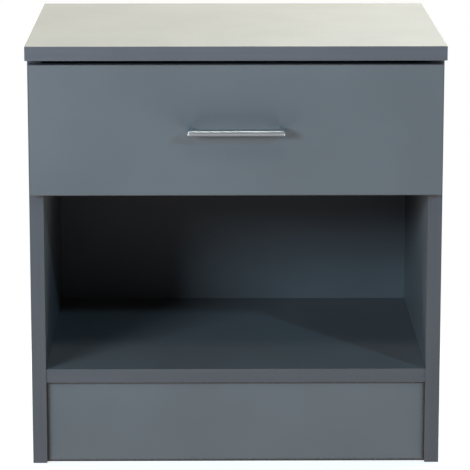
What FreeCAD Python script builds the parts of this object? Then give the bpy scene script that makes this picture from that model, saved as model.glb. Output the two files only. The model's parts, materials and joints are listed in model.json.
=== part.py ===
import FreeCAD, Part
import math
import os

# A bedside cabinet in melamine-faced chipboard: one drawer on roller runners over an open niche.
# Sizes are millimetres. X runs left to right, the front faces -Y, Z is up. The origin is on the
# floor, under the middle of the overall box with the handle counted in.

# Overall
width = 440.0               # top panel, left to right
depth = 360.0               # top panel, front to back
height = 455.0              # floor to the top surface

# Boards
board = 15.0                # carcass panels and the drawer front
drawer_board = 12.0         # drawer sides and drawer back
hardboard = 3.0             # back panel and drawer bottom
band = 0.4                  # edge banding
band_round = 0.25           # rounding on the long outer edges of the banding

# Carcass
top_overhang = 1.5          # top past the outer face of each side panel
shelf_height = 104.0        # floor to the shelf's upper face
shelf_recess = 1.5          # shelf's front edge behind the sides' front edges
plinth_recess = 6.5         # plinth's face behind the sides' front edges
back_inset = 9.0            # back panel's outer face in from the rear edges
groove_depth = 6.0          # grooves that hold the back panel
groove_play = 0.4           # groove width past the hardboard's thickness
groove_end = 0.5            # hardboard's edge short of a groove's floor

# Drawer
front_recess = 2.0          # drawer front's face behind the top's front edge
front_gap = 1.0             # drawer front's rear face to the sides' front edges
front_side_gap = 1.5        # drawer front short of each side panel's outer face
front_top_gap = 4.4         # drawer front's upper edge below the top panel
front_height = 138.6        # drawer front, lower to upper edge
box_height = 100.0          # drawer sides and back
box_round = 1.5             # rounding along the upper edges of the drawer sides and back
bottom_rise = 8.0           # underside of the drawer bottom above the box's lower edge
bottom_groove = 5.0         # depth of the grooves that hold the drawer bottom

# Handle
handle_centres = 96.0       # between the two fixing screws
handle_leg = 6.0            # leg, left to right
handle_section = 7.0        # bar, top to bottom and front to back
handle_projection = 20.0    # drawer front's face to the front of the bar
handle_corner = 2.0         # plan radius at the two outer corners
handle_screw_r = 2.0        # machine screw, M4
handle_screw_grip = 7.0     # screw inside the leg
handle_screw_head = 2.4     # head thickness

# Roller runners
runner_gap = 12.5           # side panel to drawer side
runner_rise = 8.0           # runner's underside above the drawer front's lower edge
runner_setback = 2.0        # fixed runner behind the sides' front edges
runner_step = 50.0          # runners are sold in lengths of this step
runner_rear_room = 5.0      # least distance from the runner to the back panel
runner_overlap = 70.0       # length still engaged at full travel
steel = 1.0                 # runner sheet
bend_r = 0.9                # outer radius of the runners' bends
roller_d = 17.4             # both rollers
roller_width = 6.0          # both rollers
roller_play = 0.3           # roller to flange
roller_end = 12.0           # roller axle from the end of its runner
front_roller_rise = 2.7     # front roller's top above the fixed runner
lower_flange = 10.0         # fixed runner's lower flange
upper_flange = 7.5          # fixed runner's upper flange
seat_rise = 2.0             # drawer runner's seat above the fixed runner's underside
seat_flange = 11.0          # drawer runner's flange under the drawer side
track_edge = 3.5            # free edge of the drawer runner's track from the side panel
stop_length = 4.0           # stop lug, front to back
notch_room = 2.0            # notch behind the front roller
axle_r = 2.45               # rivet through the roller
axle_play = 0.05            # rivet to roller bore, and rivet to sheet
axle_head_r = 4.0           # rivet head and shoulder
axle_head = 1.0             # thickness of a rivet's head and of its shoulder with its play
axle_head_round = 0.8       # rivet head narrower at its outer face
roller_round = 0.4          # chamfer on the rollers' treads
rear_roller_edge = 3.0      # rear roller's outer face from the side panel
side_play = 0.2             # roller's faces to head and shoulder
hub_recess_r = 4.7          # recess in the drawer's roller that holds the rivet head

# Knock-down fittings
cam_r = 7.4                 # cam disc
cam_play = 0.1              # cam disc to bore
cam_reach = 24.0            # cam's axis from the joint face
cam_past_axis = 4.5         # cam bore deeper than the board's middle
cam_sunk = 0.3              # cam's face below the board's face
cam_room = 0.4              # cam's hollow to the bolt inside it
cam_wall = 1.5              # cam's wall where the bolt's neck passes
cross_reach = 4.5           # arm of the driver cross in a cam
cross_width = 1.4
cross_depth = 1.8
bolt_thread_r = 2.5         # cam bolt's thread
bolt_floor = 4.0            # board left under a cam bolt
bolt_tip = 1.5              # taper at the tip of the thread
bolt_collar_r = 3.5         # cam bolt's seating collar
bolt_collar = 1.2           # collar thickness
bolt_shank_r = 2.8
bolt_neck_r = 1.8
bolt_head_r = 3.0
bolt_head_start = 2.0       # head begins this far before the cam's axis
bolt_head_end = 0.8         # and ends this far past it
bolt_hole_r = 3.8           # clearance hole through the edge
dowel_r = 4.0
dowel_in_edge = 18.0        # dowel inside the edge of the board it joins
dowel_floor = 3.0           # board left under a dowel
dowel_rim = 0.6             # chamfer on a dowel's ends
dowel_spread = 28.8         # cam to the dowels above and below it
hole_end = 1.5              # blind holes deeper than what is in them
fit_play = 0.05             # dowels, screws and bolts to their holes
joint_inset = 50.0          # first cam from the end of a joint
dowel_pitch = 32.0          # cam to the dowel beside it

# Screws and nails
runner_screw_r = 1.9        # fixed runner's screws
runner_screw_grip = 11.0    # screw inside the side panel
runner_screw_head = 1.5     # head thickness
drawer_screw_r = 1.5        # drawer runner's screws
drawer_screw_grip = 8.0     # screw inside the drawer side
drawer_screw_head = 1.3     # head thickness
screw_head_r = 3.2
screw_under_track = 1.5     # drawer screws' heads below the track
web_hole_play = 0.2         # screw to the hole in the runner's web
screw_first = 37.0          # first screw from the sides' front edges
screw_pitches = (0.0, 128.0, 224.0)
back_screw_r = 1.75         # screws through the drawer sides into the drawer back
back_screw_grip = 18.0      # screw inside the drawer back
back_screw_sink = 1.8       # depth of the countersink, and how far the head is wider than the shank
back_screw_heights = (45.0, 85.0)
nail_r = 0.7
nail_grip = 17.0            # nail inside the shelf
nail_head_r = 2.2
nail_head = 0.5
nail_count = 4
nail_inset = 45.0           # outer nails from the sides' inner faces

# Places that follow from the sizes above
handle_reach = handle_projection - front_recess
top_front = (handle_reach - depth) / 2
top_rear = top_front + depth
under_top = height - board
front_face = top_front + front_recess
front_rear = front_face + board
side_front = front_rear + front_gap
outer_x = width / 2 - top_overhang
inner_x = outer_x - board
back_rear = top_rear - back_inset
back_front = back_rear - hardboard
shelf_front = side_front + shelf_recess
shelf_under = shelf_height - board
plinth_front = side_front + plinth_recess
front_x = outer_x - front_side_gap
front_high = under_top - front_top_gap
front_low = front_high - front_height
handle_z = (front_high + front_low) / 2
box_x = inner_x - runner_gap
box_inner_x = box_x - drawer_board
runner_low = front_low + runner_rise
box_low = runner_low + seat_rise + steel
runner_front = side_front + runner_setback
runner_length = runner_step * math.floor((back_front - runner_rear_room - runner_front) / runner_step)
box_rear = front_rear + runner_length
drawer_back_front = box_rear - drawer_board
channel_high = runner_low + 2 * (steel + roller_play) + roller_d
front_roller_z = channel_high + front_roller_rise - roller_d / 2
rear_roller_z = runner_low + steel + roller_play + roller_d / 2
track_under = front_roller_z + roller_d / 2 + roller_play
front_roller_y = runner_front + roller_end
slide_front = front_rear + runner_setback
slide_rear = slide_front + runner_length
rear_roller_y = slide_rear - roller_end
travel = runner_length - runner_overlap

tiny = 1e-6
overshoot = 1.0             # cutters run this far past a face
AXIS_X = FreeCAD.Vector(1, 0, 0)
AXIS_Y = FreeCAD.Vector(0, 1, 0)
AXIS_Z = FreeCAD.Vector(0, 0, 1)


def block(x0, x1, y0, y1, z0, z1):
    """A box between two corners, in any order along X."""
    low = FreeCAD.Vector(min(x0, x1), y0, z0)
    return Part.makeBox(abs(x1 - x0), y1 - y0, z1 - z0, low)


def rod(start, direction, radius, length):
    """A cylinder from a point along a direction."""
    return Part.makeCylinder(radius, length, FreeCAD.Vector(*start), direction)


def turned(profile):
    """A solid of revolution about local X from (x, radius) points that start and end on the axis."""
    points = [FreeCAD.Vector(x, r, 0) for x, r in profile]
    face = Part.Face(Part.makePolygon(points + points[:1]))
    return face.revolve(FreeCAD.Vector(0, 0, 0), AXIS_X, 360)


def placed(shape, origin, local_x, local_z):
    """A copy of a shape moved so that its local X and Z point as asked."""
    local_y = local_z.cross(local_x)
    turn = FreeCAD.Rotation(local_x, local_y, local_z, "XZY")
    moved = shape.copy()
    moved.Placement = FreeCAD.Placement(FreeCAD.Vector(*origin), turn)
    return moved


def edges_where(solid, test):
    """The edges whose two ends both pass a test."""
    return [edge for edge in solid.Edges if all(test(vertex.Point) for vertex in edge.Vertexes)]


def cross_slot(face_x, reach, slot_width, slot_depth):
    """A driver cross sunk into a head whose face is the plane X = face_x, looking along +X."""
    half = slot_width / 2
    upright = Part.makeBox(slot_depth, 2 * half, 2 * reach, FreeCAD.Vector(face_x, -half, -reach))
    level = Part.makeBox(slot_depth, 2 * reach, 2 * half, FreeCAD.Vector(face_x, -reach, -half))
    return upright.fuse(level)


def banding(x0, x1, y0, y1, z0, z1, outward):
    """A strip of edge banding with its two long outer edges rounded."""
    strip = block(x0, x1, y0, y1, z0, z1)
    reach = max(vertex.Point.dot(outward) for vertex in strip.Vertexes)
    length = max(edge.Length for edge in strip.Edges)
    outer = edges_where(strip, lambda point: point.dot(outward) > reach - tiny)
    return strip.makeFillet(band_round, [edge for edge in outer if edge.Length > length - tiny])


# Fittings. Each is made at its own origin, then placed: local X runs into the edge of the board
# that it joins, starting at the joint face, and local Z points out of that board's bored face.
def cam_bolt(face_board):
    thread = face_board - bolt_floor
    root_r = bolt_thread_r - bolt_tip / 2
    neck_start = cam_reach - cam_r + cam_wall
    head_start = cam_reach - bolt_head_start
    head_end = cam_reach + bolt_head_end
    head_cone = bolt_head_start - bolt_head_r + bolt_neck_r
    return turned([
        (-thread, 0), (-thread, root_r), (bolt_tip - thread, bolt_thread_r),
        (0, bolt_thread_r), (0, bolt_collar_r), (bolt_collar, bolt_collar_r), (bolt_collar, bolt_shank_r),
        (neck_start, bolt_shank_r), (neck_start, bolt_neck_r), (head_start, bolt_neck_r),
        (head_start + head_cone, bolt_head_r), (head_end, bolt_head_r), (head_end, 0),
    ])


def cam_disc(edge_board):
    top = edge_board / 2 - cam_sunk
    disc = rod((cam_reach, 0, -cam_past_axis), AXIS_Z, cam_r, top + cam_past_axis)
    outer = cam_reach - cam_r - overshoot
    neck_start = cam_reach - cam_r + cam_wall
    chamber_start = cam_reach - bolt_head_start - cam_room
    hollows = []
    for start, end, radius in ((outer, neck_start + cam_room, bolt_shank_r),
                               (outer, chamber_start + cam_room, bolt_neck_r),
                               (chamber_start, cam_reach + bolt_head_end + cam_room, bolt_head_r)):
        half = radius + cam_room
        hollows.append(Part.makeBox(end - start, 2 * half, 2 * half, FreeCAD.Vector(start, -half, -half)))
    cross = cross_slot(0, cross_reach, cross_width, cross_depth)
    hollows.append(placed(cross, (cam_reach, 0, top), -AXIS_Z, AXIS_X))
    return disc.cut(hollows[0].fuse(hollows[1:]))


def cam_holes_in_edge_board(edge_board):
    bore_height = cam_past_axis + edge_board / 2 + overshoot
    bore = rod((cam_reach, 0, -cam_past_axis), AXIS_Z, cam_r + cam_play, bore_height)
    passage = rod((-overshoot, 0, 0), AXIS_X, bolt_hole_r, cam_reach + overshoot)
    return bore.fuse(passage)


def cam_hole_in_face_board(face_board):
    return rod((overshoot, 0, 0), -AXIS_X, bolt_thread_r + fit_play,
               face_board - bolt_floor + hole_end)


def dowel(face_board):
    length = dowel_in_edge + face_board - dowel_floor
    pin = rod((dowel_floor - face_board, 0, 0), AXIS_X, dowel_r, length)
    return pin.makeChamfer(dowel_rim, [edge for edge in pin.Edges if edge.Closed])


def dowel_hole_in_edge_board():
    return rod((-overshoot, 0, 0), AXIS_X, dowel_r + fit_play, dowel_in_edge + overshoot)


def dowel_hole_in_face_board(face_board):
    return rod((overshoot, 0, 0), -AXIS_X, dowel_r + fit_play, face_board - dowel_floor + hole_end)


def plain_hole(radius, depth):
    """A hole along +X from the face X = 0."""
    return rod((-overshoot, 0, 0), AXIS_X, radius, depth + overshoot)


def countersunk_screw(shank_r, grip):
    """Head flush with X = 0, pointing along +X."""
    head_r = shank_r + back_screw_sink
    body = turned([(0, 0), (0, head_r), (back_screw_sink, shank_r),
                   (grip - shank_r, shank_r), (grip, 0)])
    return body.cut(cross_slot(0, head_r * 0.55, head_r * 0.25, head_r * 0.35))


def countersunk_hole(shank_r, depth):
    """The hole for a countersunk screw, from the face X = 0."""
    head_r = shank_r + back_screw_sink + fit_play
    hole_r = shank_r + fit_play
    return turned([(-overshoot, 0), (-overshoot, head_r), (0, head_r), (back_screw_sink, hole_r),
                   (depth, hole_r), (depth, 0)])


def pan_screw(shank_r, head_r, head, grip):
    """Head seated on X = 0 and standing out to -X, pointing along +X."""
    body = turned([(-head, 0), (-head, head_r * 0.72), (-head * 0.4, head_r), (0, head_r),
                   (0, shank_r), (grip - shank_r / 2, shank_r), (grip, shank_r / 2), (grip, 0)])
    return body.cut(cross_slot(-head, head_r * 0.55, head_r * 0.28, head * 0.7))


# Boards, each kept by name so that the joints below can bore them.
sides = {"left": -1, "right": 1}
panels = {
    "top_panel": block(band - width / 2, width / 2 - band, top_front + band, top_rear, under_top, height),
    "shelf_panel": block(-inner_x, inner_x, shelf_front + band, back_front, shelf_under, shelf_height),
    "plinth_panel": block(-inner_x, inner_x, plinth_front, plinth_front + board, 0, shelf_under),
    "drawer_front": block(band - front_x, front_x - band, front_face, front_rear,
                          front_low + band, front_high - band),
    "drawer_back": block(-box_inner_x, box_inner_x, drawer_back_front, box_rear,
                         box_low, box_low + box_height),
}
for side, sign in sides.items():
    panels[side + "_side_panel"] = block(sign * inner_x, sign * outer_x, side_front + band, top_rear,
                                         0, under_top)
    panels["drawer_side_" + side] = block(sign * box_inner_x, sign * box_x, front_rear, box_rear,
                                          box_low, box_low + box_height)
for name in ("drawer_back", "drawer_side_left", "drawer_side_right"):
    upper = edges_where(panels[name], lambda point: point.z > box_low + box_height - tiny)
    longest = max(edge.Length for edge in upper)
    long_edges = [edge for edge in upper if edge.Length > longest - tiny]
    panels[name] = panels[name].makeFillet(box_round, long_edges)

parts = {}
fittings = {}


def bore(panel, cutter):
    panels[panel] = panels[panel].cut(cutter)


def keep(node, solid):
    fittings.setdefault(node, []).append(solid)


def cam_joint(name, edge_panel, edge_board, face_panel, face_board, origin, into, bored_face):
    """One cam, its bolt and their holes, where an edge meets the face of another board."""
    bore(edge_panel, placed(cam_holes_in_edge_board(edge_board), origin, into, bored_face))
    bore(face_panel, placed(cam_hole_in_face_board(face_board), origin, into, bored_face))
    keep(name + "_cams", placed(cam_disc(edge_board), origin, into, bored_face))
    keep(name + "_cam_bolts", placed(cam_bolt(face_board), origin, into, bored_face))


def dowel_joint(name, edge_panel, face_panel, face_board, origin, into, bored_face):
    """One dowel and its two holes."""
    bore(edge_panel, placed(dowel_hole_in_edge_board(), origin, into, bored_face))
    bore(face_panel, placed(dowel_hole_in_face_board(face_board), origin, into, bored_face))
    keep(name + "_dowels", placed(dowel(face_board), origin, into, bored_face))


def screw(node, solid, cutters, origin, direction, up):
    """One screw with the holes that it needs, as pairs of panel and cutter."""
    for panel, cutter in cutters:
        bore(panel, placed(cutter, origin, direction, up))
    keep(node, placed(solid, origin, direction, up))


# Top, shelf and plinth to the two side panels
top_joint_ends = ((side_front + joint_inset, 1), (top_rear - joint_inset, -1))
shelf_joint_ends = ((shelf_front + joint_inset, 1), (back_front - joint_inset, -1))
for side, sign in sides.items():
    panel = side + "_side_panel"
    outwards = AXIS_X * sign
    mid_side_x = sign * (inner_x + board / 2)
    for y, step in top_joint_ends:
        cam_joint("top_joint", panel, board, "top_panel", board,
                  (mid_side_x, y, under_top), -AXIS_Z, -outwards)
        dowel_joint("top_joint", panel, "top_panel", board,
                    (mid_side_x, y + step * dowel_pitch, under_top), -AXIS_Z, -outwards)
    for y, step in shelf_joint_ends:
        cam_joint("shelf_joint", "shelf_panel", board, panel, board,
                  (sign * inner_x, y, shelf_under + board / 2), -outwards, -AXIS_Z)
        dowel_joint("shelf_joint", "shelf_panel", panel, board,
                    (sign * inner_x, y + step * dowel_pitch, shelf_under + board / 2), -outwards, -AXIS_Z)
    plinth_y = plinth_front + board / 2
    cam_joint("plinth_joint", "plinth_panel", board, panel, board,
              (sign * inner_x, plinth_y, shelf_under / 2), -outwards, AXIS_Y)
    for z in (shelf_under / 2 - dowel_spread, shelf_under / 2 + dowel_spread):
        dowel_joint("plinth_joint", "plinth_panel", panel, board,
                    (sign * inner_x, plinth_y, z), -outwards, AXIS_Y)

    # Drawer side to drawer front, then to the drawer back
    drawer_side = "drawer_side_" + side
    mid_box_x = sign * (box_x - drawer_board / 2)
    cam_joint("drawer_front", drawer_side, drawer_board, "drawer_front", board,
              (mid_box_x, front_rear, box_low + box_height / 2), AXIS_Y, -outwards)
    for z in (box_low + box_height / 2 - dowel_spread, box_low + box_height / 2 + dowel_spread):
        dowel_joint("drawer_front", drawer_side, "drawer_front", board,
                    (mid_box_x, front_rear, z), AXIS_Y, -outwards)
    whole_grip = drawer_board + back_screw_grip
    solid = countersunk_screw(back_screw_r, whole_grip)
    hole = countersunk_hole(back_screw_r, whole_grip)
    for rise in back_screw_heights:
        screw("drawer_back_screws", solid, ((drawer_side, hole), ("drawer_back", hole)),
              (sign * box_x, box_rear - drawer_board / 2, box_low + rise), -outwards, AXIS_Z)

# Grooves for the back panel and the drawer bottom
back_half = inner_x + groove_depth
back_groove_front = back_front - groove_play / 2
back_groove_rear = back_rear + groove_play / 2
for side, sign in sides.items():
    bore(side + "_side_panel", block(sign * (inner_x - overshoot), sign * back_half, back_groove_front,
                                     back_groove_rear, shelf_under - overshoot, under_top + overshoot))
bore("top_panel", block(-back_half, back_half, back_groove_front, back_groove_rear,
                        under_top - overshoot, under_top + groove_depth))
bottom_low = box_low + bottom_rise
bottom_high = bottom_low + hardboard
bottom_half = box_inner_x + bottom_groove
bottom_cut = block(-bottom_half, bottom_half, front_rear - bottom_groove,
                   drawer_back_front + bottom_groove, bottom_low, bottom_high + groove_play)
for panel in ("drawer_front", "drawer_back", "drawer_side_left", "drawer_side_right"):
    bore(panel, bottom_cut)

back_panel = block(groove_end - back_half, back_half - groove_end, back_front, back_rear,
                   shelf_under, under_top + groove_depth - groove_end)
drawer_bottom = block(groove_end - bottom_half, bottom_half - groove_end,
                      front_rear - bottom_groove + groove_end,
                      drawer_back_front + bottom_groove - groove_end, bottom_low, bottom_high)

# Nails through the back panel into the shelf's rear edge
nail_z = shelf_under + board / 2
nail_span = 2 * (inner_x - nail_inset)
nail_length = hardboard + nail_grip
nail = turned([(-nail_head, 0), (-nail_head, nail_head_r), (0, nail_head_r), (0, nail_r),
               (nail_length - 2 * nail_r, nail_r), (nail_length, 0)])
nail_hole = plain_hole(nail_r + fit_play, nail_length)
for index in range(nail_count):
    x = nail_span * (index / (nail_count - 1) - 0.5)
    cutter = placed(nail_hole, (x, back_rear, nail_z), -AXIS_Y, AXIS_Z)
    back_panel = back_panel.cut(cutter)
    bore("shelf_panel", cutter)
    keep("back_panel_nails", placed(nail, (x, back_rear, nail_z), -AXIS_Y, AXIS_Z))


# Handle: a bow with square-cut legs and a half-round front, tapped from behind for its screws
def handle():
    front = front_face - handle_projection
    half = (handle_centres + handle_leg) / 2
    radius = handle_section / 2
    low, high = handle_z - radius, handle_z + radius
    bow = block(-half, half, front, front_face, low, high)
    corners = edges_where(bow, lambda point: point.y < front + tiny and point.x < 0)
    corners += edges_where(bow, lambda point: point.y < front + tiny and point.x > 0)
    bow = bow.makeFillet(handle_corner, corners)
    bow = bow.cut(block(handle_leg - half, half - handle_leg, front + handle_section,
                        front_face + overshoot, low - overshoot, high + overshoot))
    nose = rod((-half, front + radius, handle_z), AXIS_X, radius, 2 * half)
    bow = bow.common(nose.fuse(block(-half, half, front + radius, front_face, low, high)))
    for sign in sides.values():
        origin = (sign * handle_centres / 2, front_face, handle_z)
        tapped = plain_hole(handle_screw_r + fit_play, handle_screw_grip + overshoot)
        bow = bow.cut(placed(tapped, origin, -AXIS_Y, AXIS_Z))
    return bow


handle_screw_length = board + handle_screw_grip
machine_screw = pan_screw(handle_screw_r, 2 * handle_screw_r, handle_screw_head, handle_screw_length)
handle_hole = plain_hole(handle_screw_r + web_hole_play, board + overshoot)
for sign in sides.values():
    screw("handle_screws", machine_screw, (("drawer_front", handle_hole),),
          (sign * handle_centres / 2, front_rear, handle_z), -AXIS_Y, AXIS_Z)


# Runners. Distances across are from the side panel's inner face towards the drawer.
def across(sign, distance):
    return sign * (inner_x - distance)


def bent(sheet, bends):
    """The outer edges of a sheet's bends rounded, each given by its X and Z."""
    edges = []
    for x, z in bends:
        edges += edges_where(sheet, lambda point: abs(point.x - x) < tiny and abs(point.z - z) < tiny)
    return sheet.makeFillet(bend_r, edges)


def fixed_runner(sign):
    rear = runner_front + runner_length
    notch = front_roller_y + roller_d / 2 + notch_room
    web = block(across(sign, 0), across(sign, steel), runner_front, rear, runner_low, channel_high)
    lower = block(across(sign, 0), across(sign, lower_flange), runner_front, rear,
                  runner_low, runner_low + steel)
    upper = block(across(sign, 0), across(sign, upper_flange), notch, rear,
                  channel_high - steel, channel_high)
    stop_rear = rear_roller_y - travel - roller_d / 2 - roller_play
    lug = block(across(sign, 0), across(sign, upper_flange), stop_rear - stop_length, stop_rear,
                rear_roller_z, channel_high)
    sheet = web.fuse([lower, upper, lug]).removeSplitter()
    return bent(sheet, ((across(sign, 0), runner_low), (across(sign, 0), channel_high)))


def drawer_runner(sign):
    web = block(across(sign, runner_gap - steel), across(sign, runner_gap), slide_front, slide_rear,
                runner_low + seat_rise, track_under + steel)
    seat = block(across(sign, runner_gap - steel), across(sign, runner_gap + seat_flange),
                 slide_front, box_rear, runner_low + seat_rise, box_low)
    track = block(across(sign, track_edge), across(sign, runner_gap), slide_front, slide_rear,
                  track_under, track_under + steel)
    sheet = web.fuse([seat, track]).removeSplitter()
    return bent(sheet, ((across(sign, runner_gap - steel), runner_low + seat_rise),
                        (across(sign, runner_gap), track_under + steel)))


def rivet(shoulder_end, journal_end):
    """A rivet along +X from X = 0: flush root in the sheet, shoulder, journal and head."""
    head_end = journal_end + axle_head
    return turned([(0, 0), (0, axle_r), (steel, axle_r), (steel, axle_head_r), (shoulder_end, axle_head_r),
                   (shoulder_end, axle_r), (journal_end, axle_r), (journal_end, axle_head_r),
                   (head_end, axle_head_r - axle_head_round), (head_end, 0)])


def roller(near, far, recess_floor):
    """A roller along +X between two faces, with a recess in its far face down to recess_floor."""
    tread_r = roller_d / 2
    edge_r = tread_r - roller_round
    bore_r = axle_r + axle_play
    profile = [(near, bore_r), (near, edge_r), (near + roller_round, tread_r),
               (far - roller_round, tread_r), (far, edge_r)]
    if recess_floor < far:
        profile += [(far, hub_recess_r), (recess_floor, hub_recess_r), (recess_floor, bore_r)]
    else:
        profile.append((far, bore_r))
    return turned(profile)


rivet_hole = plain_hole(axle_r + axle_play, steel + overshoot)
for side, sign in sides.items():
    to_drawer = AXIS_X * -sign
    to_panel = AXIS_X * sign
    fixed = fixed_runner(sign)
    moving = drawer_runner(sign)

    # Front roller on the fixed runner; local X runs from the side panel to the drawer
    near = steel + axle_head
    far = near + roller_width
    origin = (across(sign, 0), front_roller_y, front_roller_z)
    keep("cabinet_roller_axles", placed(rivet(near - side_play, far + side_play), origin, to_drawer, AXIS_Z))
    parts["cabinet_roller_" + side] = placed(roller(near, far, far), origin, to_drawer, AXIS_Z)
    fixed = fixed.cut(placed(rivet_hole, origin, to_drawer, AXIS_Z))

    # Rear roller on the drawer's runner; local X runs from the drawer to the side panel
    far = runner_gap - rear_roller_edge
    near = far - roller_width
    recess_floor = far - axle_head - 2 * side_play
    origin = (sign * box_x, rear_roller_y, rear_roller_z)
    keep("drawer_roller_axles",
         placed(rivet(near - side_play, recess_floor + side_play), origin, to_panel, AXIS_Z))
    parts["drawer_roller_" + side] = placed(roller(near, far, recess_floor), origin, to_panel, AXIS_Z)
    moving = moving.cut(placed(rivet_hole, origin, to_panel, AXIS_Z))

    # Screws through the webs
    solid = pan_screw(runner_screw_r, screw_head_r, runner_screw_head, steel + runner_screw_grip)
    pilot = plain_hole(runner_screw_r + fit_play, steel + runner_screw_grip + hole_end)
    web_hole = plain_hole(runner_screw_r + web_hole_play, steel + overshoot)
    for pitch in screw_pitches:
        origin = (across(sign, steel), side_front + screw_first + pitch, rear_roller_z)
        fixed = fixed.cut(placed(web_hole, origin, to_panel, AXIS_Z))
        screw("cabinet_runner_screws", solid, ((side + "_side_panel", pilot),), origin, to_panel, AXIS_Z)
    solid = pan_screw(drawer_screw_r, screw_head_r, drawer_screw_head, steel + drawer_screw_grip)
    pilot = plain_hole(drawer_screw_r + fit_play, steel + drawer_screw_grip + hole_end / 2)
    web_hole = plain_hole(drawer_screw_r + web_hole_play, steel + overshoot)
    screw_z = track_under - screw_head_r - screw_under_track
    for pitch in screw_pitches:
        origin = (across(sign, runner_gap - steel), front_rear + screw_first + pitch, screw_z)
        moving = moving.cut(placed(web_hole, origin, to_drawer, AXIS_Z))
        screw("drawer_runner_screws", solid, (("drawer_side_" + side, pilot),), origin, to_drawer, AXIS_Z)

    parts["cabinet_runner_" + side] = fixed
    parts["drawer_runner_" + side] = moving

# Edge banding
parts["left_side_edging"] = banding(-outer_x, -inner_x, side_front, side_front + band, 0, under_top, -AXIS_Y)
parts["right_side_edging"] = banding(inner_x, outer_x, side_front, side_front + band, 0, under_top, -AXIS_Y)
parts["shelf_edging"] = banding(-inner_x, inner_x, shelf_front, shelf_front + band,
                                shelf_under, shelf_height, -AXIS_Y)
top_strips = [banding(-width / 2, width / 2, top_front, top_front + band, under_top, height, -AXIS_Y)]
front_strips = []
for sign in sides.values():
    top_strips.append(banding(sign * (width / 2 - band), sign * width / 2, top_front + band, top_rear,
                              under_top, height, AXIS_X * sign))
    front_strips.append(banding(sign * (front_x - band), sign * front_x, front_face, front_rear,
                                front_low + band, front_high - band, AXIS_X * sign))
front_strips.append(banding(-front_x, front_x, front_face, front_rear,
                            front_high - band, front_high, AXIS_Z))
front_strips.append(banding(-front_x, front_x, front_face, front_rear,
                            front_low, front_low + band, -AXIS_Z))
parts["top_edging"] = Part.makeCompound(top_strips)
parts["drawer_front_edging"] = Part.makeCompound(front_strips)

parts["back_panel"] = back_panel
parts["drawer_bottom"] = drawer_bottom
parts["handle"] = handle()
parts.update(panels)
for node, solids in fittings.items():
    parts[node] = Part.makeCompound(solids)

os.makedirs("parts", exist_ok=True)
for node, shape in sorted(parts.items()):
    shape.exportStep("parts/" + node + ".step")
    print(node, len(shape.Solids), "solid(s)", round(shape.Volume / 1000, 2), "cm3", shape.isValid())
print("travel", travel, "runner", runner_length)
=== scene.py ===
import json
import math
import bmesh
import bpy
from mathutils import Matrix, Vector


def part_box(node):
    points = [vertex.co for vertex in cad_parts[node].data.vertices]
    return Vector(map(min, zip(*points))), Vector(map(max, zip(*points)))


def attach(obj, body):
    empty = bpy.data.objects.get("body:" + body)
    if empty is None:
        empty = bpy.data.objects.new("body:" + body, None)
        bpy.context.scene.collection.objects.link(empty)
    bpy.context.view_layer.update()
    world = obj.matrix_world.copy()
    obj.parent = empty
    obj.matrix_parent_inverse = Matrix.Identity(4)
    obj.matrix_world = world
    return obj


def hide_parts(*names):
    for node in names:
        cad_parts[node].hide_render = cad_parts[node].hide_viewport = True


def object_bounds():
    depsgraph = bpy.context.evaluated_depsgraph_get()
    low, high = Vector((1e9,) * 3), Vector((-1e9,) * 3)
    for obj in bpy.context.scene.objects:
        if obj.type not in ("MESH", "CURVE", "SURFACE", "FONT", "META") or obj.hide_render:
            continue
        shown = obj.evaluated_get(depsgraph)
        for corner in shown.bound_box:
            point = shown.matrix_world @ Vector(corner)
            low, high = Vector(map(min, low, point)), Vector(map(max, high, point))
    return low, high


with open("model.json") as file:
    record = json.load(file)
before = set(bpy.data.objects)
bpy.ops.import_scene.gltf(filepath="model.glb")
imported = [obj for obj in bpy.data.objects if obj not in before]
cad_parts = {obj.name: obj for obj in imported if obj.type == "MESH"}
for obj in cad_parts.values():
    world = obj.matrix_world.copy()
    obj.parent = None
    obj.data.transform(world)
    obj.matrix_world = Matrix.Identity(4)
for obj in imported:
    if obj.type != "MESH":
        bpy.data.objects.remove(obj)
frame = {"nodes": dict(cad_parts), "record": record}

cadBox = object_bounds()
nodes = frame["nodes"]
mm = 0.001
weld = 0.002 * mm        # points nearer than this are one
touching = 1e-6          # places nearer than this are the same, in metres
sharpFrom = 38           # degrees past which an edge of a new piece stays crisp
bodyOf = {node: body for body, members in frame["record"]["behaviour"]["bodies"].items() for node in members}
print("frame loaded:", len(nodes), "nodes")


class Wire:  # a socket that takes part in sums, each sum adding its Math node
    def __init__(self, maker, socket):
        self.maker = maker
        self.socket = socket

    def __add__(self, other):
        return self.maker.math("ADD", self, other)

    def __radd__(self, other):
        return self.maker.math("ADD", other, self)

    def __sub__(self, other):
        return self.maker.math("SUBTRACT", self, other)

    def __rsub__(self, other):
        return self.maker.math("SUBTRACT", other, self)

    def __mul__(self, other):
        return self.maker.math("MULTIPLY", self, other)

    def __rmul__(self, other):
        return self.maker.math("MULTIPLY", other, self)

    def __pow__(self, other):
        return self.maker.math("POWER", self, other)

    def __abs__(self):
        return self.maker.math("ABSOLUTE", self, 0.0)

    def __gt__(self, other):
        return self.maker.math("GREATER_THAN", self, other)

    def __lt__(self, other):
        return self.maker.math("LESS_THAN", self, other)


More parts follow.
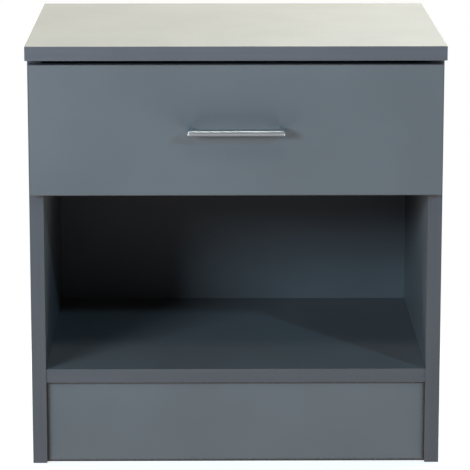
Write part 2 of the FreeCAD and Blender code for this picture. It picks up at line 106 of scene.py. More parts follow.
class Maker:  # one material or world and the nodes in it
    def __init__(self, owner):
        owner.use_nodes = True
        self.tree = owner.node_tree
        self.tree.nodes.clear()

    def node(self, kind, settings=None, inputs=None, output=0):
        made = self.tree.nodes.new("ShaderNode" + kind)
        for name, value in (settings or {}).items():
            setattr(made, name, value)
        for name, value in (inputs or {}).items():
            if isinstance(value, Wire):
                self.tree.links.new(value.socket, made.inputs[name])
            else:
                made.inputs[name].default_value = value
        return Wire(self, made.outputs[output]) if made.outputs else made

    def math(self, operation, a, b):
        return self.node("Math", {"operation": operation}, {0: a, 1: b})

    def ramp(self, value, low, high, start=0.0, end=1.0):
        limits = {0: value, 1: low, 2: high, 3: start, 4: end}
        return self.node("MapRange", {"interpolation_type": "SMOOTHSTEP"}, limits)

    def mix(self, factor, a, b):
        return self.node("Mix", {"data_type": "RGBA"}, {0: factor, 6: colour4(a), 7: colour4(b)}, 2)

    def blend(self, value, span, a, b):     # colour a below the span of the value, b above it
        return self.mix(self.ramp(value, *span), a, b)

    def place(self):
        return self.node("TexCoord", output="Object")

    def stretched(self, scale, turn=(0, 0, 0)):
        return self.node("Mapping", None, {0: self.place(), 2: turn, 3: scale})

    def noise(self, scale, detail, rough, at=None, distortion=0.0):
        return self.node("TexNoise", None, {"Vector": at or self.place(), "Scale": scale, "Detail": detail,
                                            "Roughness": rough, "Distortion": distortion})

    def axis(self, index):
        return self.node("SeparateXYZ", None, {0: self.place()}, index)

    def bump(self, height, distance, strength=1.0, normal=None):
        inputs = {"Height": height, "Distance": distance, "Strength": strength}
        if normal:
            inputs["Normal"] = normal
        return self.node("Bump", None, inputs)

    def surface(self, **sockets):
        names = {"colour": "Base Color", "rough": "Roughness", "metal": "Metallic", "normal": "Normal",
                 "coat": "Coat Weight", "specular": "Specular IOR Level", "alpha": "Alpha",
                 "glow": "Emission Color", "lit": "Emission Strength"}
        shader = self.node("BsdfPrincipled", None, {names[k]: colour4(v) for k, v in sockets.items()})
        self.node("OutputMaterial", None, {"Surface": shader})


def colour4(value):
    return (*value, 1.0) if isinstance(value, tuple) and len(value) == 3 else value


def newMaterial(name):
    material = bpy.data.materials.new(name)
    return material, Maker(material)


def shades(colour, factor):
    return tuple(min(1.0, channel * factor) for channel in colour)


def alongOnly(axis, share):  # a scale that stretches a pattern along one axis
    scale = [1.0, 1.0, 1.0]
    scale[axis] = share
    return tuple(scale)


def fromMiddle(make, axis, low, high):  # distance along an axis from halfway between two corners
    return abs(make.axis(axis) - (low[axis] + high[axis]) / 2)


# In the finishes, a noise is its scale, detail and roughness, and a span is where a change begins and ends,
# with the values before and after it where they aren't 0 and 1. Depths are in metres.
melamine = {
    "colour": (0.132, 0.154, 0.175),    # blue-grey paper under the resin
    "rough": 0.40,
    "mottle": 0.05,                     # share that the colour drifts over a board
    "drift": (7.0, 3.0, 0.55),
    "drifts": (0.3, 0.7),
    "speck": (420.0, 2.0, 0.6),
    "specks": (0.62, 0.8, 0.0, 0.22),
    "speckShade": 0.8,
    "emboss": (850.0, 1.0, 0.4),        # pearls of the press plate
    "embossFine": (2635.0, 1.0, 0.5),
    "fineShare": 0.35,
    "embossDepth": 0.000035,
    "pearlGloss": 0.08,
    "wiped": (16.0, 4.0, 0.6),
    "wipedStretch": (1.0, 1.0, 0.45),
    "smear": 0.05,                      # how much wiping marks change the gloss
    "paper": 0.00016,                   # thickness of the printed skin, seen at a raw edge
    "ragged": (700.0, 3.0, 0.7),
    "chipAndShadeLine": 0.0006,                  # dark line along a board's sawn edges, and how dark it is: partly the chipped cut, partly painted shade where boards meet
    "chipAndShadeDark": 0.62,
    "buttedShadowLine": 0.0038,               # wider and darker where a board butts between others: painted shadow cast by the boards round it
    "buttedShadowDark": 0.95,
    # the painted edge line's colour: the dark chip colour scaled by this less the line's darkness
    "lineShadeBase": 1.15,
}
chipboard = {
    "core": (0.30, 0.205, 0.125),
    "chip": (0.56, 0.42, 0.27),
    "dark": (0.13, 0.085, 0.05),
    "chips": 330.0,
    "along": 0.38,                      # chips lie along the board
    "fibre": (1500.0, 3.0, 0.6),
    "fibres": (0.35, 0.7, 0.0, 0.45),
    "seams": (0.0, 0.12, 0.75, 0.0),    # dark seams between chips
    "seamRise": (0.0, 0.2),
    "shares": (0.6, 0.5, 0.5),          # of seams, chips and fibres in the relief
    "duller": 0.42,                     # a cut edge's roughness past the face's
    "depth": 0.00035,
    "strength": 0.8,
}


def chipboardLook(make, longAxis):
    at = make.stretched(alongOnly(longAxis, chipboard["along"]))
    cell = {"Vector": at, "Scale": chipboard["chips"]}
    cells = make.node("TexVoronoi", {"feature": "F1"}, cell, "Color")
    seams = make.node("TexVoronoi", {"feature": "DISTANCE_TO_EDGE"}, cell, "Distance")
    pick = make.node("SeparateColor", None, {0: cells}, 0)
    fibre = make.noise(*chipboard["fibre"], at)
    colour = make.mix(pick, chipboard["core"], chipboard["chip"])
    colour = make.blend(fibre, chipboard["fibres"], colour, chipboard["dark"])
    colour = make.blend(seams, chipboard["seams"], colour, chipboard["dark"])
    seamShare, chipShare, fibreShare = chipboard["shares"]
    height = make.ramp(seams, *chipboard["seamRise"]) * seamShare + pick * chipShare + fibre * fibreShare
    return colour, height


def melamineLook(make, tint):
    drift = make.noise(*melamine["drift"])
    speck = make.noise(*melamine["speck"])
    paper = shades(melamine["colour"], tint)
    share = melamine["mottle"]
    colour = make.blend(drift, melamine["drifts"], shades(paper, 1 - share), shades(paper, 1 + share))
    colour = make.blend(speck, melamine["specks"], colour, shades(paper, melamine["speckShade"]))
    pearl = make.noise(*melamine["emboss"])
    fine = make.noise(*melamine["embossFine"])
    wiped = make.noise(*melamine["wiped"], make.stretched(melamine["wipedStretch"]))
    rough = melamine["rough"] + (wiped - 0.5) * melamine["smear"] + (pearl - 0.5) * melamine["pearlGloss"]
    return colour, rough, pearl + fine * melamine["fineShare"]


def boardMaterial(name, node, thickAxis, tint=1.0, foilOver=None, butted=False):
    low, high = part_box(node)
    half = (high[thickAxis] - low[thickAxis]) / 2
    others = [axis for axis in range(3) if axis != thickAxis]
    longAxis = max(others, key=lambda axis: high[axis] - low[axis])
    # the dark line along each edge of a face is partly the chipped saw cut and partly painted shade where boards
    # meet; on a butted board it is wider and darker, as painted shadow
    chipAndShadeLine = melamine["buttedShadowLine" if butted else "chipAndShadeLine"]
    chipAndShadeDark = melamine["buttedShadowDark" if butted else "chipAndShadeDark"]
    chipAndShadeColour = shades(chipboard["dark"], melamine["lineShadeBase"] - chipAndShadeDark)
    material, make = newMaterial(name)
    colour, rough, height = melamineLook(make, tint)
    raw, chips = chipboardLook(make, longAxis)
    inward = [(high[axis] - low[axis]) / 2 - fromMiddle(make, axis, low, high) for axis in others]
    ragged = make.math("MINIMUM", *inward) + (make.noise(*melamine["ragged"]) - 0.5) * chipAndShadeLine
    colour = make.blend(ragged, (0.0, chipAndShadeLine, chipAndShadeDark, 0.0), colour, chipAndShadeColour)
    inside = fromMiddle(make, thickAxis, low, high) < half - melamine["paper"]
    if foilOver is not None:                                  # the foil wraps over the upper edge
        inside = inside * (make.axis(2) < high[2] - foilOver)
    skin = make.bump(height, melamine["embossDepth"])
    make.surface(colour=make.mix(inside, colour, raw), rough=rough + inside * chipboard["duller"],
                 normal=make.bump(chips * inside, chipboard["depth"], chipboard["strength"], skin), specular=0.5)
    return material


edging = {
    "colour": (0.095, 0.105, 0.124),
    "topLitTint": 1.24,                    # painted light: the top's band is drawn paler, for the light it catches from above
    "mottle": 0.05,
    "rough": 0.36,
    "streak": (190.0, 3.0, 0.6),
    "along": 0.03,                      # streaks run along the band
    "streakGloss": 0.12,
    "pearl": (1105.0, 1.0, 0.4),
    "pearlShare": 0.8,
    "drift": (9.0, 2.0, 0.5),
    "drifts": (0.7, 1.3),
    "depth": 0.00002,
}


def edgingMaterial(name, along, tint=1.0):
    material, make = newMaterial(name)
    base = shades(edging["colour"], tint)
    share = edging["mottle"]
    streak = make.noise(*edging["streak"], make.stretched(alongOnly(along, edging["along"])))
    pearl = make.noise(*edging["pearl"])
    drift = make.noise(*edging["drift"])
    colour = make.blend(drift + streak, edging["drifts"], shades(base, 1 - share), shades(base, 1 + share))
    make.surface(colour=colour, rough=edging["rough"] + (streak - 0.5) * edging["streakGloss"],
                 normal=make.bump(streak + pearl * edging["pearlShare"], edging["depth"]))
    return material


hardboard = {
    "brown": (0.235, 0.135, 0.072),
    "darkBrown": (0.13, 0.07, 0.036),
    "fibre": (260.0, 5.0, 0.65),
    "fibreTwist": 0.6,
    "fibreShare": 0.7,
    "clump": (55.0, 4.0, 0.65),
    "clumpShare": 0.5,
    "browns": (0.42, 0.78),
    "mesh": 620.0,                      # screen marks per metre on the bare face
    "meshMarks": (-0.2, 0.9, 0.0, 0.35),
    "meshRise": 3.0,                    # of the marks and of the fibres, past the paint's
    "fibreRise": 4.8,
    "skin": 0.35 * mm,
    "printed": (0.128, 0.158, 0.180),   # paint on the other face
    "drawerTint": 1.5,
    "drift": (10.0, 3.0, 0.5),
    "drifts": (0.3, 0.7),
    "mottle": 0.05,
    "peel": (650.0, 2.0, 0.5),
    "rough": 0.42,
    "duller": 0.38,                     # the bare face's roughness past the paint's
    "driftGloss": 0.06,
    "depth": 0.00003,
}


def hardboardMaterial(name, node, thickAxis, printedSide, printed):
    low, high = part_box(node)
    skin = hardboard["skin"]
    share = hardboard["mottle"]
    material, make = newMaterial(name)
    across = [axis for axis in range(3) if axis != thickAxis]
    place = make.axis(thickAxis)
    bare = (place > low[thickAxis] + skin) if printedSide < 0 else (place < high[thickAxis] - skin)
    waves = [make.math("SINE", make.axis(axis) * (hardboard["mesh"] * 2 * math.pi), 0.0) for axis in across]
    screen = waves[0] * waves[1]
    fibre = make.noise(*hardboard["fibre"], distortion=hardboard["fibreTwist"])
    clump = make.noise(*hardboard["clump"])
    pulp = fibre * hardboard["fibreShare"] + clump * hardboard["clumpShare"]
    brown = make.blend(pulp, hardboard["browns"], hardboard["darkBrown"], hardboard["brown"])
    brown = make.blend(screen, hardboard["meshMarks"], brown, hardboard["darkBrown"])
    drift = make.noise(*hardboard["drift"])
    paint = make.blend(drift, hardboard["drifts"], shades(printed, 1 - share), shades(printed, 1 + share))
    relief = screen * hardboard["meshRise"] + fibre * hardboard["fibreRise"]
    rough = hardboard["rough"] + bare * hardboard["duller"] + (drift - 0.5) * hardboard["driftGloss"]
    make.surface(colour=make.mix(bare, paint, brown), rough=rough,
                 normal=make.bump(bare * relief + make.noise(*hardboard["peel"]), hardboard["depth"]))
    return material


runnerPaint = {
    "dull": (0.66, 0.655, 0.63),
    "clean": (0.76, 0.755, 0.73),
    "rubbed": (0.42, 0.42, 0.41),
    "rough": 0.33,
    "coat": 0.3,
    "peel": (380.0, 2.0, 0.5),
    "depth": 0.00006,
    "drift": (14.0, 3.0, 0.6),
    "drifts": (0.3, 0.7),
    "driftGloss": 0.12,
    "rub": (900.0, 3.0, 0.7),
    "rubAlong": (1.0, 0.02, 1.0),       # rub marks run the way the drawer does
    "rubs": (0.62, 0.78, 0.0, 0.5),
    "rubGloss": 0.2,
}


def runnerMaterial():
    material, make = newMaterial("runnerEpoxy")
    drift = make.noise(*runnerPaint["drift"])
    rub = make.noise(*runnerPaint["rub"], make.stretched(runnerPaint["rubAlong"]))
    colour = make.blend(drift, runnerPaint["drifts"], runnerPaint["dull"], runnerPaint["clean"])
    colour = make.blend(rub, runnerPaint["rubs"], colour, runnerPaint["rubbed"])
    gloss = (drift - 0.5) * runnerPaint["driftGloss"] + (rub - 0.5) * runnerPaint["rubGloss"]
    make.surface(colour=colour, rough=runnerPaint["rough"] + gloss, coat=runnerPaint["coat"],
                 normal=make.bump(make.noise(*runnerPaint["peel"]), runnerPaint["depth"]))
    return material


nylonLook = {
    "shade": (0.74, 0.73, 0.68),
    "light": (0.83, 0.82, 0.78),
    "rough": 0.42,
    "flow": (60.0, 3.0, 0.6),           # flow of the moulding
    "flows": (0.3, 0.7),
    "flowGloss": 0.14,
    "grain": (1400.0, 2.0, 0.5),
    "depth": 0.00003,
}


def nylonMaterial():
    material, make = newMaterial("nylonRoller")
    flow = make.noise(*nylonLook["flow"])
    grain = make.noise(*nylonLook["grain"])
    colour = make.blend(flow, nylonLook["flows"], nylonLook["shade"], nylonLook["light"])
    make.surface(colour=colour, rough=nylonLook["rough"] + (flow - 0.5) * nylonLook["flowGloss"],
                 normal=make.bump(grain + flow, nylonLook["depth"]))
    return material


metals = {  # two colours, the drift between them and its span, the roughness, and the marks that vary it
    "zincPlate": {"colours": ((0.72, 0.72, 0.74), (0.74, 0.71, 0.62)), "drift": (35.0, 2.0, 0.5),
                  "drifts": (0.35, 0.65), "rough": 0.27, "marks": (1800.0, 3.0, 0.7),
                  "stretch": (1.0, 0.15, 1.0), "turn": (0.3, 0.2, 0.5), "marksGloss": 0.25, "depth": 0.00001},
    "castZinc": {"colours": ((0.40, 0.41, 0.42), (0.58, 0.58, 0.58)), "drift": (120.0, 3.0, 0.5),
                 "drifts": (0.35, 0.65), "rough": 0.46, "marks": (700.0, 4.0, 0.65),
                 "stretch": (1.0, 1.0, 1.0), "turn": (0.0, 0.0, 0.0), "marksGloss": 0.25, "depth": 0.00006},
}


def metalMaterial(name):
    look = metals[name]
    material, make = newMaterial(name)
    drift = make.noise(*look["drift"])
    marks = make.noise(*look["marks"], make.stretched(look["stretch"], look["turn"]))
    make.surface(colour=make.blend(drift, look["drifts"], *look["colours"]), metal=1.0,
                 rough=look["rough"] + (marks - 0.5) * look["marksGloss"],
                 normal=make.bump(marks, look["depth"]))
    return material


beechLook = {
    "dark": (0.52, 0.34, 0.19),
    "light": (0.70, 0.52, 0.33),
    "grain": (900.0, 4.0, 0.6),
    "grains": (0.3, 0.7),
    "stretch": (0.08, 1.0, 1.0),        # grain runs along the dowels
    "rough": 0.62,
    "grainGloss": 0.2,
    "depth": 0.00008,
}


def beechMaterial():
    material, make = newMaterial("beechDowel")
    grain = make.noise(*beechLook["grain"], make.stretched(beechLook["stretch"]))
    make.surface(colour=make.blend(grain, beechLook["grains"], beechLook["dark"], beechLook["light"]),
                 rough=beechLook["rough"] + (grain - 0.5) * beechLook["grainGloss"],
                 normal=make.bump(grain, beechLook["depth"]))
    return material


handleFinish = {
    "colour": (0.59, 0.665, 0.73),
    "shades": (0.93, 1.05),             # in the brush marks and between them
    "rough": 0.36,
    "brush": (5200.0, 2.0, 0.6),
    "stretch": (0.012, 1.0, 1.0),       # brushed along the bar
    "brushes": (0.25, 0.75),
    "brushGloss": 0.12,
    "cloud": (45.0, 3.0, 0.5),
    "cloudGloss": 0.05,
    "depth": 0.0000015,
}


def handleMaterial():
    material, make = newMaterial("satinHandle")
    brushed = make.noise(*handleFinish["brush"], make.stretched(handleFinish["stretch"]))
    cloud = make.noise(*handleFinish["cloud"])
    dark, light = (shades(handleFinish["colour"], shade) for shade in handleFinish["shades"])
    gloss = (brushed - 0.5) * handleFinish["brushGloss"] + (cloud - 0.5) * handleFinish["cloudGloss"]
    make.surface(colour=make.blend(brushed, handleFinish["brushes"], dark, light), metal=1.0,
                 rough=handleFinish["rough"] + gloss, normal=make.bump(brushed, handleFinish["depth"]))
    return material


def dress(node, material):
    data = nodes[node].data
    data.materials.clear()
    data.materials.append(material)


boards = {  # node: the axis across its thickness
    "top_panel": 2, "shelf_panel": 2, "left_side_panel": 0, "right_side_panel": 0,
    "plinth_panel": 1, "drawer_front": 1,
}
for node, axis in boards.items():
    # the plinth's edge line is widened and darkened as painted shadow under the shelf, beside the sides and at
    # the floor
    dress(node, boardMaterial("melamine_" + node, node, axis, butted=(node == "plinth_panel")))

drawerFoil = {
    "tint": 1.55,
    "wrap": 1.6 * mm,        # how far the foil comes down past the upper edge
    "boards": {"drawer_side_left": 0, "drawer_side_right": 0, "drawer_back": 1},
}
for node, axis in drawerFoil["boards"].items():
    dress(node, boardMaterial("foil_" + node, node, axis, drawerFoil["tint"], drawerFoil["wrap"]))

# the top's band: the same edging drawn paler, as painted light from above
dress("top_edging", edgingMaterial("edgingTopLit", 0, edging["topLitTint"]))
acrossBand = edgingMaterial("edgingAcross", 0)
for node in ("shelf_edging", "drawer_front_edging"):
    dress(node, acrossBand)
downBand = edgingMaterial("edgingDown", 2)
for node in ("left_side_edging", "right_side_edging"):
    dress(node, downBand)

dress("back_panel", hardboardMaterial("hardboardBack", "back_panel", 1, -1, hardboard["printed"]))
palePrint = shades(hardboard["printed"], hardboard["drawerTint"])
dress("drawer_bottom", hardboardMaterial("hardboardDrawer", "drawer_bottom", 2, 1, palePrint))

epoxy = runnerMaterial()
nylon = nylonMaterial()
plated = metalMaterial("zincPlate")
cast = metalMaterial("castZinc")
beech = beechMaterial()
for node in nodes:
    if "_runner_" in node and not node.endswith("screws"):
        dress(node, epoxy)
    elif "_roller_" in node and not node.endswith("axles"):
        dress(node, nylon)
    elif node.endswith(("_screws", "_nails", "_axles", "_cam_bolts")):
        dress(node, plated)
    elif node.endswith("_cams"):
        dress(node, cast)
    elif node.endswith("_dowels"):
        dress(node, beech)
satin = handleMaterial()
dress("handle", satin)
print("finishes ready")


def finishPiece(name, mesh, material, body, stands):
    bmesh.ops.remove_doubles(mesh, verts=mesh.verts[:], dist=weld)
    bmesh.ops.recalc_face_normals(mesh, faces=mesh.faces[:])
    data = bpy.data.meshes.new(name)
    mesh.to_mesh(data)
    mesh.free()
    data.materials.append(material)
    data.shade_smooth()
    data.set_sharp_from_angle(angle=math.radians(sharpFrom))
    piece = bpy.data.objects.new(name, data)
    bpy.context.scene.collection.objects.link(piece)
    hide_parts(stands)
    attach(piece, body)


def wholeOf(mesh):
    return mesh.verts[:] + mesh.edges[:] + mesh.faces[:]


def pointsIn(geometry):
    return [item for item in geometry if isinstance(item, bmesh.types.BMVert)]


def bevelEdges(mesh, edges, offset, segments):
    bmesh.ops.bevel(mesh, geom=edges, offset=offset, segments=segments, profile=0.5, affect="EDGES", material=-1,
                    clamp_overlap=True)


def turnProfile(mesh, profile, steps, place):  # spins (along, radius) points about X, then moves the shape
    points = [mesh.verts.new((along, 0.0, radius)) for along, radius in profile]
    lines = [mesh.edges.new(pair) for pair in zip(points, points[1:])]
    before = set(mesh.verts) - set(points)
    bmesh.ops.spin(mesh, geom=points + lines, cent=(0, 0, 0), axis=(1, 0, 0), angle=2 * math.pi, steps=steps,
                   use_merge=True)
    made = [vertex for vertex in mesh.verts if vertex not in before]
    bmesh.ops.remove_doubles(mesh, verts=made, dist=weld)
    made = [vertex for vertex in mesh.verts if vertex not in before]
    bmesh.ops.transform(mesh, matrix=place, verts=made)


handleShape = {
    "leg": 6.0 * mm,         # left to right
    "depth": 7.0 * mm,       # bar, front to back
    "noseSteps": 28,         # facets round the bar's front
    "crease": 40,            # degrees past which an edge is rounded
    "endRound": 1.5 * mm,    # outline of both ends, and its segments
    "endSteps": 5,
    "edgeRound": 0.35 * mm,  # what is left of the straight edges
    "edgeSteps": 3,
}


def makeHandle():
    low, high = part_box("handle")
    radius = (high.z - low.z) / 2
    rear = low.y + handleShape["depth"]
    mesh = bmesh.new()
    # the end of the bar: a half circle in front and a flat back
    bmesh.ops.create_circle(mesh, cap_ends=True, segments=2 * handleShape["noseSteps"], radius=radius)
    bmesh.ops.bisect_plane(mesh, geom=wholeOf(mesh), plane_co=(0, 0, 0), plane_no=(1, 0, 0), clear_outer=True)
    middle = Vector((low.x, low.y + radius, (low.z + high.z) / 2))
    turn = Matrix(((0, 0, 1), (1, 0, 0), (0, 1, 0))).to_4x4()       # circle's X to Y, its Y to Z
    bmesh.ops.transform(mesh, matrix=Matrix.Translation(middle) @ turn, verts=mesh.verts[:])
    cut = [edge for edge in mesh.edges if all(abs(vertex.co.y - middle.y) < touching for vertex in edge.verts)]
    grown = bmesh.ops.extrude_edge_only(mesh, edges=cut)["geom"]
    bmesh.ops.translate(mesh, vec=(0, handleShape["depth"] - radius, 0), verts=pointsIn(grown))
    bmesh.ops.dissolve_edges(mesh, edges=[edge for edge in mesh.edges if len(edge.link_faces) == 2])
    # along the bar
    end = bmesh.ops.duplicate(mesh, geom=wholeOf(mesh))["geom"]
    loops = [edge for edge in mesh.edges if len(edge.link_faces) == 1]
    bmesh.ops.translate(mesh, vec=(high.x - low.x, 0, 0), verts=pointsIn(end))
    bmesh.ops.bridge_loops(mesh, edges=loops)
    for place in (low.x + handleShape["leg"], high.x - handleShape["leg"]):
        bmesh.ops.bisect_plane(mesh, geom=wholeOf(mesh), plane_co=(place, 0, 0), plane_no=(1, 0, 0))
    # legs back to the drawer front
    feet = [face for face in mesh.faces if all(abs(vertex.co.y - rear) < touching for vertex in face.verts)
            and abs(face.calc_center_median().x) > high.x - handleShape["leg"]]
    grown = bmesh.ops.extrude_face_region(mesh, geom=feet)["geom"]
    bmesh.ops.delete(mesh, geom=feet, context="FACES_ONLY")
    bmesh.ops.translate(mesh, vec=(0, high.y - rear, 0), verts=pointsIn(grown))
    bmesh.ops.remove_doubles(mesh, verts=mesh.verts[:], dist=weld)
    bmesh.ops.recalc_face_normals(mesh, faces=mesh.faces[:])

    def creases():  # sharp edges, apart from those that touch the drawer front
        sharp = [edge for edge in mesh.edges
                 if len(edge.link_faces) == 2 and edge.calc_face_angle() > math.radians(handleShape["crease"])]
        return [edge for edge in sharp if not all(abs(vertex.co.y - high.y) < touching for vertex in edge.verts)]

    ends = [edge for edge in creases()
            if all(abs(abs(vertex.co.x) - high.x) < touching for vertex in edge.verts)]
    bevelEdges(mesh, ends, handleShape["endRound"], handleShape["endSteps"])
    bevelEdges(mesh, creases(), handleShape["edgeRound"], handleShape["edgeSteps"])
    finishPiece("bow_handle", mesh, satin, bodyOf["handle"], "handle")


rollerShape = {
    "steps": 56,
    "treadRound": 0.5 * mm,
    "roundMiddle": 0.3,                           # share of the rounding where its chamfer breaks
    "dish": (4.95 * mm, 7.3 * mm, 0.45 * mm),     # shallow ring sunk in each face: inner and outer radius, depth
    "bore": 2.5 * mm,
    "recess": (4.7 * mm, 1.3 * mm),               # room for the rivet's head: radius and depth
}


def makeRoller(node, side, headRecess):
    low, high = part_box(node)
    half = (high.x - low.x) / 2
    tread = (high.z - low.z) / 2
    inner, outer, sunk = rollerShape["dish"]
    recess, recessDepth = rollerShape["recess"]
    bore = rollerShape["bore"]
    lip = rollerShape["treadRound"]
    eased = lip * rollerShape["roundMiddle"]
    hub = [(half, bore)]
    if headRecess:
        hub = [(half, recess), (half - recessDepth, recess), (half - recessDepth, bore)]
    face = [(half - lip, tread), (half - eased, tread - eased), (half, tread - lip),
            (half, outer), (half - sunk, outer - sunk), (half - sunk, inner + sunk), (half, inner)]
    mirrored = [(-along, radius) for along, radius in reversed(face)]
    profile = [(-half, bore)] + mirrored + face + hub + [(-half, bore)]
    mesh = bmesh.new()
    place = Matrix.Translation((low + high) / 2) @ Matrix.Diagonal((side, 1.0, 1.0, 1.0))
    turnProfile(mesh, profile, rollerShape["steps"], place)
    finishPiece(node + "_moulded", mesh, nylon, bodyOf[node], node)


def separateSolids(node):  # the lowest and highest corner of each solid in a node
    mesh = bmesh.new()
    mesh.from_mesh(nodes[node].data)
    bmesh.ops.remove_doubles(mesh, verts=mesh.verts[:], dist=weld)
    left = set(mesh.verts)
    corners = []
    while left:
        reached = [left.pop()]
        for vertex in reached:
            near = {edge.other_vert(vertex) for edge in vertex.link_edges} & left
            left -= near
            reached.extend(near)
        spans = [[vertex.co[axis] for vertex in reached] for axis in range(3)]
        corners.append((Vector(min(span) for span in spans), Vector(max(span) for span in spans)))
    mesh.free()
    return sorted(corners, key=lambda pair: tuple(pair[0]))


rivetShape = {
    "steps": 40,
    "shank": 2.45 * mm,
    "shoulder": 4.0 * mm,
    "sheet": 1.0 * mm,
    "play": 0.2 * mm,          # roller's faces to head and shoulder
    "head": 0.8 * mm,
    "rim": 0.35 * mm,          # straight part of the head below its dome
    # distance below the head's end, and share of the head's radius
    "dome": ((0.18 * mm, 0.86), (0.05 * mm, 0.6), (0.0, 0.3), (0.0, 0.0)),
}


def makeRivets(node, rollers, name):
    # the root is flush in the runner; the shoulder, journal and domed head follow
    mesh = bmesh.new()
    thin, thick, sheet = rivetShape["shank"], rivetShape["shoulder"], rivetShape["sheet"]
    for (low, high), roller in zip(separateSolids(node), rollers):
        rollerLow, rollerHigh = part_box(roller)
        centre = (low + high) / 2
        rootFirst = abs(low.x - rollerLow.x) > abs(high.x - rollerHigh.x)
        way = 1.0 if rootFirst else -1.0
        start = low.x if rootFirst else high.x
        near = abs((rollerLow.x if rootFirst else rollerHigh.x) - start) - rivetShape["play"]
        end = high.x - low.x
        head = end - min(rivetShape["head"], end - near)
        profile = [(0.0, 0.0), (0.0, thin), (sheet, thin), (sheet, thick), (near, thick), (near, thin),
                   (head, thin), (head, thick), (head + rivetShape["rim"], thick)]
        profile += [(end - short, thick * share) for short, share in rivetShape["dome"]]
        place = Matrix.Translation((start, centre.y, centre.z)) @ Matrix.Diagonal((way, 1.0, 1.0, 1.0))
        turnProfile(mesh, profile, rivetShape["steps"], place)
    finishPiece(name, mesh, plated, bodyOf[node], node)


nailShape = {
    "steps": 28,
    "shank": 0.7 * mm,
    # depth from the head's face, and share of the head's radius
    "dome": ((0.0, 0.0), (0.03 * mm, 0.55), (0.12 * mm, 0.85), (0.26 * mm, 1.0)),
    "rim": 0.4 * mm,           # where the head's struck rim starts to turn in
    "head": 0.5 * mm,
    "under": 0.9,              # share of the head's radius at its underside
    "point": 1.8 * mm,
}


def makeNails():
    mesh = bmesh.new()
    thin, head = nailShape["shank"], nailShape["head"]
    for low, high in separateSolids("back_panel_nails"):
        centre = (low + high) / 2
        wide = (high.x - low.x) / 2
        length = high.y - low.y
        profile = [(along, wide * share) for along, share in nailShape["dome"]]
        profile += [(nailShape["rim"], wide), (head, wide * nailShape["under"]), (head, thin),
                    (length - nailShape["point"], thin), (length, 0.0)]
        place = Matrix.Translation((centre.x, high.y, centre.z)) @ Matrix.Rotation(-math.pi / 2, 4, "Z")
        turnProfile(mesh, profile, nailShape["steps"], place)
    finishPiece("panel_nails", mesh, plated, bodyOf["back_panel_nails"], "back_panel_nails")


makeHandle()
print("handle ready")
makeNails()
for group in ("cabinet", "drawer"):
    makeRivets(group + "_roller_axles", [group + "_roller_left", group + "_roller_right"], group + "_rivets")
print("nails and rivets ready")
for side, sign in {"left": -1, "right": 1}.items():
    makeRoller("cabinet_roller_" + side, sign, False)
    makeRoller("drawer_roller_" + side, sign, True)
print("rollers ready")


stageLook = {
    "floor": (0.90, 0.905, 0.92),
    "rough": 0.9,
    "sheen": 0.1,            # specular level
    "lit": 0.60,             # the table's own light, as seen
    "size": 4.0,
    "melt": (0.08, 0.42, 1.0, 0.0),      # metres round the cabinet where the floor starts and ends to fade out
}


def makeFloor():
    mesh = bmesh.new()
    bmesh.ops.create_grid(mesh, x_segments=1, y_segments=1, size=stageLook["size"] / 2)
    data = bpy.data.meshes.new("floor")
    mesh.to_mesh(data)
    mesh.free()
    floor = bpy.data.objects.new("floor", data)
    bpy.context.scene.collection.objects.link(floor)
    material, make = newMaterial("paleFloor")
    low, high = cadBox
    away = []
    for axis in (0, 1):
        past = fromMiddle(make, axis, low, high) - (high[axis] - low[axis]) / 2
        away.append(make.math("MAXIMUM", past, 0.0))
    distance = (away[0] * away[0] + away[1] * away[1]) ** 0.5
    make.surface(colour=stageLook["floor"], rough=stageLook["rough"], specular=stageLook["sheen"],
                 glow=(1.0, 1.0, 1.0), lit=stageLook["lit"], alpha=make.ramp(distance, *stageLook["melt"]))
    data.materials.append(material)
    floor.visible_diffuse = False        # the world sends up the light that the floor would
    floor.visible_glossy = False
    floor.visible_shadow = False


worldLook = {
    "fill": 0.025,
    "glow": (2.70, 2.63, 2.27),          # backdrop behind the cabinet
    "glowDepth": (0.0, 0.35),            # it grows from the side to the rear, and fades overhead
    "glowTop": (0.7, 0.35),
    "glowRight": (1.46, 1.48, 1.41),     # more of it to the right
    "rightFrom": (-0.05, 0.15),
    "below": (0.276, 0.225, 0.218),      # light that a wide pale table sends up
    "lamps": (2.64, 2.45, 2.13),         # lamps under the table, in front of the cabinet and to both sides
    "lampsUnder": (-0.30, -0.55),
    "lampsAside": (0.22, 0.42),
}


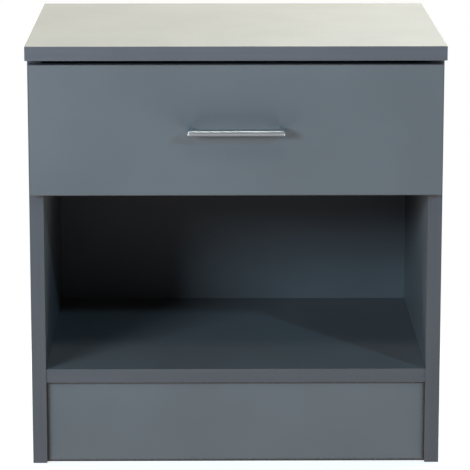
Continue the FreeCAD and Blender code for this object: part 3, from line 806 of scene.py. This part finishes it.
def makeWorld():
    world = bpy.data.worlds.new("studio")
    bpy.context.scene.world = world
    make = Maker(world)
    direction = make.node("TexCoord", output="Generated")
    side, depth, up = (make.node("SeparateXYZ", None, {0: direction}, axis) for axis in range(3))
    glow = make.ramp(depth, *worldLook["glowDepth"]) * make.ramp(up, *worldLook["glowTop"]) * (up > 0.0)
    below = up < 0.0
    aside = make.ramp(abs(side), *worldLook["lampsAside"])
    lamps = make.ramp(up, *worldLook["lampsUnder"]) * aside * (depth < 0.0)
    sources = {"glow": glow, "glowRight": glow * make.ramp(side, *worldLook["rightFrom"]),
               "below": below, "lamps": lamps}
    channels = {}
    for channel in range(3):
        channels[channel] = worldLook["fill"]
        for name, mask in sources.items():
            channels[channel] = mask * worldLook[name][channel] + channels[channel]
    lit = make.node("CombineColor", None, channels)
    seen = make.node("LightPath", output="Is Camera Ray")
    shader = make.node("Background", None, {"Color": make.mix(seen, lit, (1.0, 1.0, 1.0)), "Strength": 1.0})
    make.node("OutputWorld", None, {"Surface": shader})


softboxes = {  # where each stands, what it faces, its width and height, and its power
    "right": {"at": (1.04, -1.39, 1.13), "faces": (0.0, 0.0, 0.23), "size": (0.08, 0.08), "power": 7.1,
              "colour": (0.484, 0.804, 1.0)},
    "left": {"at": (-1.06, -1.49, 0.80), "faces": (0.0, 0.0, 0.23), "size": (0.6, 0.32), "power": 18.3,
             "colour": (0.745, 0.894, 1.0)},
    "high": {"at": (0.0, -1.5, 2.3), "faces": (0.0, 0.0, 0.30), "size": (0.5, 0.4), "power": 7.5,
             "colour": (1.0, 0.933, 0.78)},
}


def makeSoftbox(name, values):
    lamp = bpy.data.lights.new(name + "Softbox", "AREA")
    lamp.shape = "RECTANGLE"
    lamp.size, lamp.size_y = values["size"]
    lamp.energy = values["power"]
    lamp.color = values["colour"]
    holder = bpy.data.objects.new(name + "Softbox", lamp)
    bpy.context.scene.collection.objects.link(holder)
    holder.location = values["at"]
    holder.rotation_mode = "QUATERNION"
    holder.rotation_quaternion = (Vector(values["at"]) - Vector(values["faces"])).to_track_quat("Z", "Y")


shot = {
    "place": (-27.7 * mm, -2964.1 * mm, 849.4 * mm),
    "down": 0.2097,          # radians below level
    "aside": 0.0095,         # radians towards +X
    "lens": 207.63,
    "sensor": 36.0,
    "clip": (0.1, 200.0),
}


def makeCamera():
    data = bpy.data.cameras.new("shot")
    data.sensor_width = shot["sensor"]
    data.lens = shot["lens"]
    data.clip_start, data.clip_end = shot["clip"]
    camera = bpy.data.objects.new("shot", data)
    bpy.context.scene.collection.objects.link(camera)
    camera.location = shot["place"]
    camera.rotation_euler = (math.pi / 2 - shot["down"], 0.0, -shot["aside"])
    bpy.context.scene.camera = camera


makeFloor()
makeWorld()
for name, values in softboxes.items():
    makeSoftbox(name, values)
makeCamera()
bpy.context.scene.view_settings.view_transform = "Standard"
print("stage ready")
